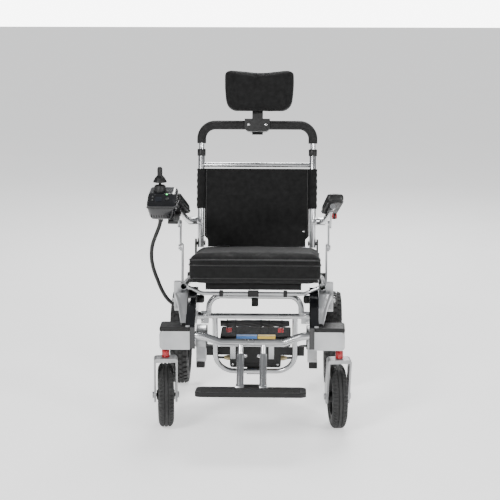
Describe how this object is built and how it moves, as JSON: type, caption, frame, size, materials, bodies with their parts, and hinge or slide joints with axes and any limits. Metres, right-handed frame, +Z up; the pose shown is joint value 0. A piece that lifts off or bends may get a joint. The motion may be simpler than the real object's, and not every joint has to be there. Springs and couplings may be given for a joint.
{
  "type": "power wheelchair",
  "caption": "Folding electric wheelchair with a joystick on the right armrest, swivel casters in front, powered rear wheels, a push handle and a headrest.",
  "frame": {"origin": "middle of the chair's outline, on the floor; the chair's own mid-plane lies 15.1 mm to +X of it, because the hand control stands out on the -X side", "axes": "+Z up, -Y the way the sitter faces, +X the sitter's left"},
  "size_m": [0.6438, 0.9126, 1.0625],
  "materials": {
    "silver_tube": "satin",
    "silver_casting": "brushed",
    "fork_metal": "satin",
    "bolt": "polished",
    "black_gloss": "gloss",
    "black_plastic": "moulded",
    "black_metal": "powder coat",
    "red_trim": "gloss",
    "seat_fabric": "woven",
    "foam": "foam",
    "tyre": "matt",
    "rubber": "matt",
    "cable": "satin",
    "battery": "moulded",
    "display": "dark"
  },
  "bodies": {
    "seat_frame": {"seat_frame_tubes": "silver_tube", "seat_sling": "seat_fabric", "seat_cushion": "seat_fabric", "hub_flanges": "silver_casting", "hub_bolts": "bolt", "back_brackets": "black_metal", "arm_posts": "silver_casting", "lap_belt": "seat_fabric"},
    "front_frame": {"front_legs": "silver_casting", "leg_inlays": "black_gloss", "housing_caps": "black_plastic", "caster_collars": "red_trim", "footrest_crossbar": "silver_tube"},
    "footrest": {"footrest_tubes": "silver_tube"},
    "footplate": {"footplate": "black_plastic"},
    "rear_frame": {"rear_legs": "silver_casting", "motor_housings": "silver_casting", "drive_motors": "black_metal", "rubber_feet": "rubber", "rear_tube_frame": "silver_tube", "power_box": "black_plastic", "cable_bundle": "seat_fabric", "cable_connectors": "red_trim", "motor_cable_left": "cable", "motor_cable_right": "cable"},
    "battery": {"battery_pack": "battery"},
    "backrest": {"backrest_frame": "silver_tube", "backrest_fabric": "seat_fabric", "tube_collars": "black_plastic"},
    "handle": {"push_handle": "silver_tube", "handle_grip": "foam", "headrest_clamp": "black_metal"},
    "headrest": {"headrest_stem": "black_metal", "headrest_pad": "seat_fabric"},
    "arm_left": {"arm_bar_left": "silver_tube", "arm_pad_left": "seat_fabric"},
    "arm_right": {"arm_bar_right": "silver_tube", "arm_pad_right": "seat_fabric", "controller_bracket": "black_metal", "controller_case": "black_gloss", "controller_display": "display", "joystick_bellows": "rubber", "controller_cable": "cable"},
    "link_left": {"arm_link_left": "silver_casting"},
    "link_right": {"arm_link_right": "silver_casting"},
    "latch_left": {"latch_knob_left": "red_trim"},
    "latch_right": {"latch_knob_right": "red_trim"},
    "power_button": {"power_button": "black_plastic"},
    "joystick_gimbal": {"joystick_gimbal": "black_metal"},
    "joystick": {"joystick_stick": "black_plastic"},
    "caster_fork_left": {"caster_fork_left": "fork_metal"},
    "caster_wheel_left": {"caster_rim_left": "black_plastic", "caster_tyre_left": "tyre"},
    "rear_wheel_left": {"rear_rim_left": "black_metal", "rear_tyre_left": "tyre"},
    "caster_fork_right": {"caster_fork_right": "fork_metal"},
    "caster_wheel_right": {"caster_rim_right": "black_plastic", "caster_tyre_right": "tyre"},
    "rear_wheel_right": {"rear_rim_right": "black_metal", "rear_tyre_right": "tyre"}
  },
  "joints": [
    {"name": "frame_fold", "type": "hinge", "parent": "seat_frame", "child": "front_frame", "pos_m": [0.0151, -0.07224, 0.38], "axis": [1, 0, 0], "range_deg": [0, 20]},
    {"name": "rear_frame_fold", "type": "hinge", "parent": "seat_frame", "child": "rear_frame", "pos_m": [0.0151, -0.07224, 0.38], "axis": [1, 0, 0], "range_deg": [-20, 0]},
    {"name": "backrest_fold", "type": "hinge", "parent": "seat_frame", "child": "backrest", "pos_m": [0.0151, 0.25976, 0.492], "axis": [1, 0, 0], "range_deg": [0, 88]},
    {"name": "footrest_length", "type": "slide", "parent": "front_frame", "child": "footrest", "axis": [0, -0.5519, -0.8339], "range_m": [0, 0.04]},
    {"name": "footplate_fold", "type": "hinge", "parent": "footrest", "child": "footplate", "pos_m": [0.0151, -0.33227, 0.16509], "axis": [-1, 0, 0], "range_deg": [0, 75]},
    {"name": "battery_slide", "type": "slide", "parent": "rear_frame", "child": "battery", "axis": [0, 1, 0], "range_m": [0, 0.12]},
    {"name": "handle_height", "type": "slide", "parent": "backrest", "child": "handle", "axis": [0, 0.225, 0.9744], "range_m": [0, 0.06]},
    {"name": "headrest_height", "type": "slide", "parent": "handle", "child": "headrest", "axis": [0, 0.225, 0.9744], "range_m": [0, 0.024]},
    {"name": "power_button_press", "type": "slide", "parent": "arm_right", "child": "power_button", "axis": [0, 0.5707, -0.8211], "range_m": [0, 0.0015], "stiffness_N_per_m": 1500, "springref_m": -0.001},
    {"name": "joystick_pitch", "type": "hinge", "parent": "arm_right", "child": "joystick_gimbal", "pos_m": [-0.2729, -0.13224, 0.73], "axis": [1, 0, 0], "range_deg": [-15, 15], "stiffness_Nm_per_rad": 0.8},
    {"name": "joystick_roll", "type": "hinge", "parent": "joystick_gimbal", "child": "joystick", "pos_m": [-0.2729, -0.13224, 0.73], "axis": [0, 1, 0], "range_deg": [-15, 15], "stiffness_Nm_per_rad": 0.8},
    {"name": "arm_hinge_left", "type": "hinge", "parent": "backrest", "child": "arm_left", "pos_m": [0.2301, 0.2764, 0.5641], "axis": [1, 0, 0], "range_deg": [-88, 0]},
    {"name": "arm_link_hinge_left", "type": "hinge", "parent": "seat_frame", "child": "link_left", "pos_m": [0.2501, 0.00216, 0.5319], "axis": [1, 0, 0], "range_deg": [0, 88]},
    {"name": "latch_pull_left", "type": "slide", "parent": "arm_left", "child": "latch_left", "axis": [1, 0, 0], "range_m": [0, 0.006], "stiffness_N_per_m": 900, "springref_m": -0.002},
    {"name": "caster_swivel_left", "type": "hinge", "parent": "front_frame", "child": "caster_fork_left", "pos_m": [0.2831, -0.23224, 0.28], "axis": [0, 0, 1], "continuous": true},
    {"name": "caster_roll_left", "type": "hinge", "parent": "caster_fork_left", "child": "caster_wheel_left", "pos_m": [0.27891, -0.19246, 0.1], "axis": [0.9945, 0.1045, 0], "continuous": true},
    {"name": "wheel_roll_left", "type": "hinge", "parent": "rear_frame", "child": "rear_wheel_left", "pos_m": [0.2721, 0.29776, 0.1585], "axis": [1, 0, 0], "continuous": true},
    {"name": "arm_hinge_right", "type": "hinge", "parent": "backrest", "child": "arm_right", "pos_m": [-0.1999, 0.2764, 0.5641], "axis": [1, 0, 0], "range_deg": [-88, 0]},
    {"name": "arm_link_hinge_right", "type": "hinge", "parent": "seat_frame", "child": "link_right", "pos_m": [-0.2199, 0.00216, 0.5319], "axis": [1, 0, 0], "range_deg": [0, 88]},
    {"name": "latch_pull_right", "type": "slide", "parent": "arm_right", "child": "latch_right", "axis": [-1, 0, 0], "range_m": [0, 0.006], "stiffness_N_per_m": 900, "springref_m": -0.002},
    {"name": "caster_swivel_right", "type": "hinge", "parent": "front_frame", "child": "caster_fork_right", "pos_m": [-0.2529, -0.23224, 0.28], "axis": [0, 0, 1], "continuous": true},
    {"name": "caster_roll_right", "type": "hinge", "parent": "caster_fork_right", "child": "caster_wheel_right", "pos_m": [-0.25709, -0.19246, 0.1], "axis": [0.9945, 0.1045, 0], "continuous": true},
    {"name": "wheel_roll_right", "type": "hinge", "parent": "rear_frame", "child": "rear_wheel_right", "pos_m": [-0.2419, 0.29776, 0.1585], "axis": [1, 0, 0], "continuous": true}
  ],
  "couplings": [
    {"joint": "rear_frame_fold", "follows": "frame_fold", "ratio": -1},
    {"joint": "arm_hinge_left", "follows": "backrest_fold", "ratio": -1},
    {"joint": "arm_link_hinge_left", "follows": "backrest_fold", "ratio": 1},
    {"joint": "arm_hinge_right", "follows": "backrest_fold", "ratio": -1},
    {"joint": "arm_link_hinge_right", "follows": "backrest_fold", "ratio": 1}
  ]
}
